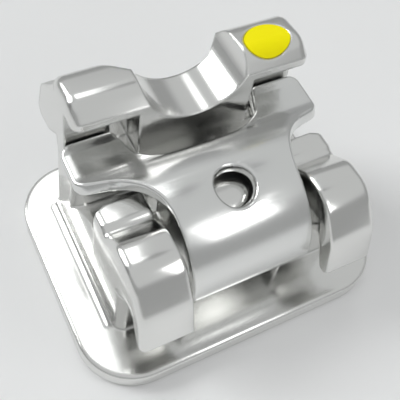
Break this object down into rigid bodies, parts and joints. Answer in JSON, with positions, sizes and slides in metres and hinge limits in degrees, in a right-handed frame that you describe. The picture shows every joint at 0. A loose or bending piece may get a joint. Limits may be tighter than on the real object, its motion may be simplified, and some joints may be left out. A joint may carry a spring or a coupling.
{
  "type": "orthodontic bracket",
  "caption": "Self-ligating orthodontic bracket of polished steel, with a sliding spring clip over its archwire slot and a yellow dot.",
  "frame": {"origin": "middle of the pad's bonding face, on the face's plane", "axes": "+X along the archwire slot towards the dot, +Y gingival, +Z labial, away from the tooth"},
  "size_m": [0.0036, 0.0028, 0.0023],
  "materials": {
    "body_steel": "polished moulded stainless steel",
    "spring_steel": "polished rolled spring steel",
    "yellow_enamel": "satin enamel"
  },
  "bodies": {
    "bracket": {"bracket_body": "body_steel", "id_dot": "yellow_enamel"},
    "clip": {"spring_clip": "spring_steel"}
  },
  "joints": [
    {"name": "clip_slide", "type": "slide", "parent": "bracket", "child": "clip", "axis": [0, -0.9613, 0.2756], "range_m": [0, 0.00085]}
  ]
}
